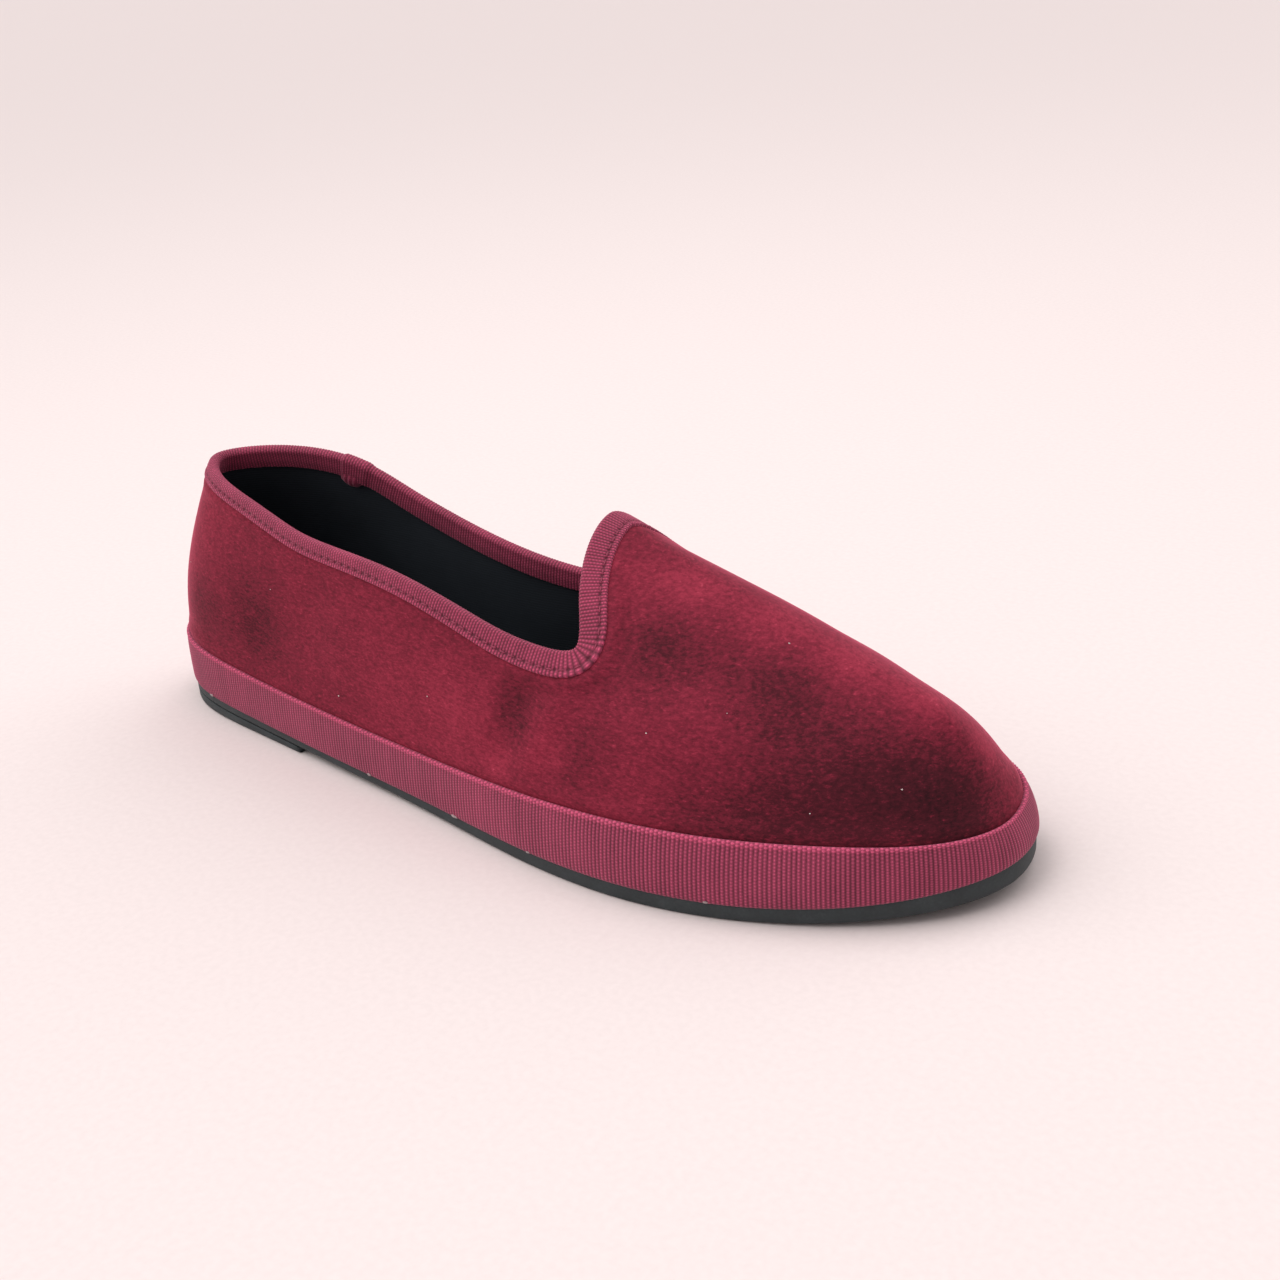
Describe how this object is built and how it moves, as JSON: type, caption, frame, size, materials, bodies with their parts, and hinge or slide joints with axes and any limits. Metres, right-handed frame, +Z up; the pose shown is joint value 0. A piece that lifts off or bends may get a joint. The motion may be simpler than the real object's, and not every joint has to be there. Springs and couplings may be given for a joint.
{
  "type": "furlane slipper",
  "caption": "Right furlane slipper: low velvet upper with a rounded tongue, ribbed grosgrain binding at the collar and band at the foot, on a thin rubber sole with a heel lift.",
  "frame": {"origin": "on the floor, under the middle of the shoe's bounding box", "axes": "+X from heel to toe, +Z up from the floor, -Y towards the wearer's right, the lateral side of this right shoe"},
  "size_m": [0.255, 0.0866, 0.0718],
  "materials": {
    "velvet": "short burgundy pile",
    "grosgrain": "ribbed mauve burgundy ribbon",
    "rubber": "matt slate",
    "lining": "dark twill"
  },
  "bodies": {
    "root": {"outsole": "rubber", "heel_lift": "rubber", "insole": "lining", "sole_band": "grosgrain", "upper": "velvet", "collar_binding": "grosgrain"}
  },
  "joints": []
}
